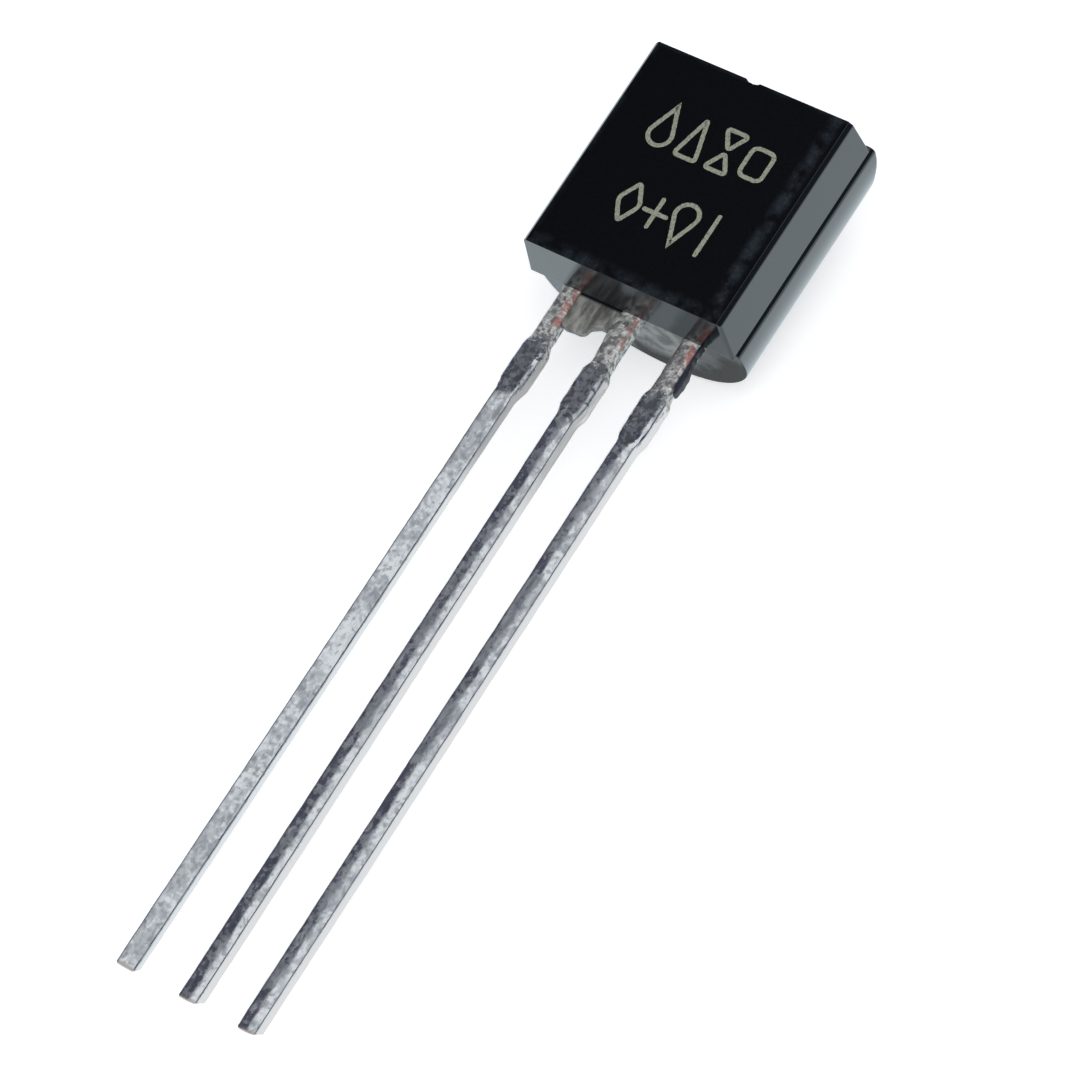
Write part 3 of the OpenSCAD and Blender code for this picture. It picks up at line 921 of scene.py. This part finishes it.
def tinned_copper():
    """Dipped tin with faint dross; a bare matt patch where the tie bar was, and near the resin
    a rough neck where the copper shows through. The sheared tip shows copper too."""
    made, tree, shader = new_material("tinned_lead", TIN, 0.18, 1.0)
    place, across = place_of(tree)[:2]
    _, x, y, z = place_of(tree, "strip")
    drawn = add(tree, "ShaderNodeVectorMath", {0: place, 1: (1.0, 1.0, 0.5)}, operation="MULTIPLY")
    dross = use(tree, grain, Place=(drawn, "Vector"), Grains_per_mm=10.0, Roughness=0.45, Swirl=1.0,
                Low=0.44, High=0.66)
    patches = use(tree, grain, Place=place, Grains_per_mm=1.5, Low=0.36, High=0.6)
    grit = use(tree, grain, Place=place, Grains_per_mm=11.0, Roughness=0.5, Low=0.4, High=0.6)
    blotch = use(tree, grain, Place=place, Grains_per_mm=5.0, Swirl=0.8, Low=0.42, High=0.6)
    front = ramp(tree, y, *FRONT_Y)
    spotty = times(tree, front, mix_value(tree, (patches, "Mask"), 0.4, 1.0))
    wander = calc(tree, "SUBTRACT", calc(tree, "ADD", (grit, "Height"), (blotch, "Height")), 1.0)

    # The tin: a thin grey film and dross on the front, and smooth sides painted paler and warmer than
    # the front as painted light
    dull = times(tree, (dross, "Mask"), spotty)
    film = calc(tree, "ADD", (patches, "Height"), times(tree, wander, 0.7))
    film = times(tree, ramp(tree, film, 0.34, 0.6), front)
    colour = mix_colour(tree, times(tree, film, 0.5), TIN, TIN_FILM)
    colour = mix_colour(tree, dull, colour, TIN_DROSS)
    face = mix_colour(tree, front, TIN_SIDE_LIT, colour)
    on_side = calc(tree, "MAXIMUM", ramp(tree, x, *SIDE_X), ramp(tree, y, *SIDE_Y))
    colour = mix_colour(tree, on_side, colour, face)
    rough = mix_value(tree, film, 0.15, 0.4)
    rough = calc(tree, "MAXIMUM", rough, times(tree, dull, 0.3))

    # The neck: rough and spotted, with painted shade on its left that is deepest on the base lead, and
    # a streak of copper along its right
    ragged_z = calc(tree, "ADD", z, times(tree, wander, 0.8))
    neck = ramp(tree, ragged_z, *NECK_Z)
    worn = mix_colour(tree, (grit, "Mask"), NECK_HIGH, NECK_LOW)
    shaded = ramp(tree, calc(tree, "ADD", x, times(tree, wander, 0.3)), *SHADE_X)
    shaded = times(tree, shaded, mix_value(tree, ramp(tree, across, 0.7, 1.0), 0.3, 0.75))
    worn = mix_colour(tree, shaded, worn, NECK_SHADE)
    streak = times(tree, ramp(tree, x, *COPPER_X), ramp(tree, y, *COPPER_Y),
                   ramp(tree, ragged_z, *COPPER_Z))
    worn = mix_colour(tree, times(tree, streak, (blotch, "Mask")), worn, COPPER)
    colour = mix_colour(tree, neck, colour, worn)
    rough = mix_value(tree, neck, rough, mix_value(tree, (blotch, "Mask"), 0.38, 0.58))

    # The bare patch where the tie bar was punched off, with bright specks on its left
    at_stub = calc(tree, "MINIMUM", ramp(tree, z, *BARE_LOW), ramp(tree, z, *BARE_HIGH))
    patch = calc(tree, "MINIMUM", at_stub, ramp(tree, x, *BARE_LEFT))
    patch = calc(tree, "MINIMUM", patch, ramp(tree, x, *BARE_RIGHT))
    patch = ramp(tree, calc(tree, "ADD", patch, times(tree, wander, 3.2)), 0.4, 0.5)
    patch = times(tree, patch, ramp(tree, y, 0.13, 0.05),
                  mix_value(tree, ramp(tree, at_stub, 0.0, 0.2), 0.25, 1.0))
    specks = times(tree, at_stub, ramp(tree, x, *SPECK_X), ramp(tree, (blotch, "Height"), 0.44, 0.52))
    colour = mix_colour(tree, specks, colour, BARE_SPECK)
    bare = mix_colour(tree, (grit, "Mask"), BARE_PALE, BARE_DARK)
    colour = mix_colour(tree, patch, colour, bare)
    rough = mix_value(tree, specks, rough, 0.25)
    rough = mix_value(tree, patch, rough, 0.5)

    # The sheared tip
    tip = ramp(tree, z, 0.09 - LEAD_L, 0.03 - LEAD_L)
    colour = mix_colour(tree, times(tree, tip, 0.6), colour, TIP_COPPER)
    rough = mix_value(tree, tip, rough, 0.35)
    feed(tree, colour, shader, "Base Color")
    feed(tree, rough, shader, "Roughness")
    feed(tree, calc(tree, "SUBTRACT", 1.0, times(tree, neck, 0.25)), shader, "Metallic")

    low_relief = times(tree, (dross, "Height"), mix_value(tree, spotty, 0.04, 0.14))
    neck_relief = calc(tree, "ADD", (grit, "Height"), times(tree, (blotch, "Height"), 2.0))
    height = mix_value(tree, neck, low_relief, neck_relief)
    bump(tree, shader, mix_value(tree, patch, height, 0.1), 0.022)
    return made


tin = tinned_copper()
lead("emitter_lead_strip", "emitter_lead", -1, (0.03, 0.03, 0.12), twist=radians(12), drift=-0.07)
lead("collector_lead_strip", "collector_lead", 0, (0.05, 0.15, 0.42), flare=0.06)
lead("base_lead_strip", "base_lead", 1, (0.05, 0.18, 0.5), drift=-0.03)

# ------------------------------------------------------------------ chip and wires
# Inside the moulding a silicon chip is glued to the paddle with silver-filled paste, and two gold
# wires, bonded at both ends, loop from its pads to the posts. They keep the frame's own meshes.


def dress(node, made):
    """Gives one of the frame's own pieces a material."""
    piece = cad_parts[node]
    if not piece.material_slots:
        piece.data.materials.append(None)
    for place_in in piece.material_slots:
        place_in.link = "OBJECT"
        place_in.material = made


def plain_metal(name, colour, roughness, grains, metallic=1.0):
    """A metal with faint darker and duller marks, so many to the millimetre."""
    made, tree, shader = new_material(name, colour, roughness, metallic)
    spot = add(tree, "ShaderNodeTexCoord")
    marks = use(tree, grain, Place=(spot, "Object"), Grains_per_mm=grains / MM, Low=0.4, High=0.7)
    dark = tuple(c * 0.7 for c in colour)
    feed(tree, mix_colour(tree, (marks, "Mask"), colour, dark), shader, "Base Color")
    feed(tree, mix_value(tree, (marks, "Mask"), roughness, roughness * 1.5), shader, "Roughness")
    return made


dress("chip", plain_metal("silicon", (0.2, 0.21, 0.25), roughness=0.12, grains=6.0, metallic=0.5))
dress("die_attach", plain_metal("silver_paste", (0.6, 0.6, 0.58), roughness=0.5, grains=60.0))
gold = plain_metal("gold_wire", (0.9, 0.66, 0.28), roughness=0.2, grains=40.0)
dress("emitter_wire", gold)
dress("base_wire", gold)

# ------------------------------------------------------------------ floor, lights and camera
# A white table top in a white tent. The tent is open overhead, where it is dark, and a black card
# stands at its right, so that the flat and its bevel stay black while the walls pick up the white.

FLOOR_R = 0.6
FLOOR_WHITE = (0.86, 0.86, 0.86)
FLOOR_GLOW = 0.5        # takes the floor up to white without more light on the transistor
GLINT = (0.83, 0.94, 1.0)       # the floor as the transistor mirrors it
# Painted shadows in the floor as the transistor mirrors it:
BODY_MIDDLE_Y = 7.2     # the moulding's shadow dims what it mirrors of the floor below it
BODY_DIM, BODY_DIM_X, BODY_DIM_Y = 0.22, (2.7, 1.6), (3.6, 2.2)
LEADS_AT = Vector((-0.2, 3.2, 0)) * MM      # and so does the leads' shadow
LEADS_DIM, LEADS_DIM_R = 0.45, (2.4, 1.0)


def table_white():
    """Matt white, seen plain in anything that mirrors it, except where a shadow of the transistor is
    painted into what it mirrors.
    """
    made, tree, shader = new_material("floor_white", FLOOR_WHITE, 0.9)
    shader.inputs["Specular IOR Level"].default_value = 0.0
    seen = add(tree, "ShaderNodeLightPath")
    shader.inputs["Emission Color"].default_value = (1, 1, 1, 1)
    feed(tree, times(tree, (seen, "Is Camera Ray"), FLOOR_GLOW), shader, "Emission Strength")
    mirrored = calc(tree, "MAXIMUM", (seen, "Is Glossy Ray"), (seen, "Is Transmission Ray"))
    where = add(tree, "ShaderNodeNewGeometry"), "Position"
    axes = add(tree, "ShaderNodeSeparateXYZ", {"Vector": where})
    beside, ahead = (calc(tree, "ABSOLUTE", calc(tree, "SUBTRACT", (axes, axis), middle * MM))
                     for axis, middle in (("X", 0), ("Y", BODY_MIDDLE_Y)))
    nearby = add(tree, "ShaderNodeVectorMath", {0: where, 1: LEADS_AT}, operation="DISTANCE")
    under_body, under_side, under_leads = (
        ramp(tree, away, start * MM, end * MM)
        for away, (start, end) in ((beside, BODY_DIM_X), (ahead, BODY_DIM_Y),
                                   ((nearby, "Value"), LEADS_DIM_R)))
    # Painted shadow: what the transistor mirrors of the floor is dimmed under the moulding and near the
    # leads
    painted_shadow = calc(tree, "ADD", times(tree, under_body, under_side, BODY_DIM),
                  times(tree, under_leads, LEADS_DIM))
    glint = mix_colour(tree, painted_shadow, GLINT, (0, 0, 0))
    plain = add(tree, "ShaderNodeEmission", {"Color": glint, "Strength": 1.0})
    shown = add(tree, "ShaderNodeMixShader", {0: mirrored, 1: (shader, "BSDF"), 2: (plain, "Emission")})
    connect(tree, (shown, "Shader"), tree.nodes["Material Output"].inputs["Surface"])
    return made


bm = bmesh.new()
bmesh.ops.create_circle(bm, cap_ends=True, segments=96, radius=FLOOR_R)
floor = new_piece("floor", bm)
floor.data.materials.append(table_white())

TENT = (0.94, 0.98, 1.0)
CEILING = (0.075, 0.08, 0.112)
# Each dark zone's direction, and the angles from it between which the dark gives way to the tent
OVERHEAD = Vector((-0.43, 0.17, 0.887)).normalized(), 46, 60
RIGHTWARD = Vector((0.9, 0, 0.436)).normalized(), 86, 74
CARD = Vector((0.88, 0.22, 0.42)).normalized(), 36, 42


def tent():
    """The tent's walls with their dark zones; past the floor's edge the view is plain white."""
    world = bpy.data.worlds.new("tent")
    bpy.context.scene.world = world
    world.use_nodes = True
    tree = world.node_tree
    sky = tree.nodes["Background"]
    way = add(tree, "ShaderNodeTexCoord"), "Generated"
    zones = []
    for axis, start, end in (OVERHEAD, RIGHTWARD, CARD):
        along = add(tree, "ShaderNodeVectorMath", {0: way, 1: axis}, operation="DOT_PRODUCT")
        zones.append(ramp(tree, (along, "Value"), cos(radians(start)), cos(radians(end))))
    wall = times(tree, calc(tree, "MAXIMUM", zones[0], zones[1]), zones[2])
    colour = mix_colour(tree, wall, CEILING, TENT)
    seen = add(tree, "ShaderNodeLightPath")
    feed(tree, mix_colour(tree, (seen, "Is Camera Ray"), colour, (1, 1, 1)), sky, "Color")
    sky.inputs["Strength"].default_value = 1.0


tent()

CAMERA_AT = Vector((44.544, -39.388, 83.996)) * MM
CAMERA_AIM = Vector((0.912, 0.372, 1.596)) * MM
CAMERA_ROLL = radians(-16.447)
CAMERA_SENSOR, CAMERA_LENS, CAMERA_CLIP = 36.0, 196.08, (0.001, 10.0)
camera = put_in_scene("camera", bpy.data.cameras.new("camera"))
bpy.context.scene.camera = camera
camera.data.sensor_width = CAMERA_SENSOR
camera.data.lens = CAMERA_LENS
camera.data.clip_start, camera.data.clip_end = CAMERA_CLIP
camera.rotation_mode = "QUATERNION"
camera.location = CAMERA_AT
aimed = (CAMERA_AIM - CAMERA_AT).to_track_quat("-Z", "Y").to_matrix()
camera.rotation_quaternion = (aimed @ Matrix.Rotation(CAMERA_ROLL, 3, "Z")).to_quaternion()

bpy.context.scene.view_settings.view_transform = "Standard"


def lamp(name, at, aim, size, level):
    """A square soft box, kept out of mirrored light; level is its brightness, white being 1."""
    data = bpy.data.lights.new(name, "AREA")
    data.shape = "SQUARE"
    data.size = size
    data.energy = level * pi * size ** 2
    made = put_in_scene(name, data)
    made.location = at
    made.rotation_mode = "QUATERNION"
    made.rotation_quaternion = (Vector(aim) - Vector(at)).to_track_quat("-Z", "Y")
    made.visible_glossy = False


lamp("key", (0.1, -0.05, 0.17), (0, 0, 0), size=0.14, level=2.4)
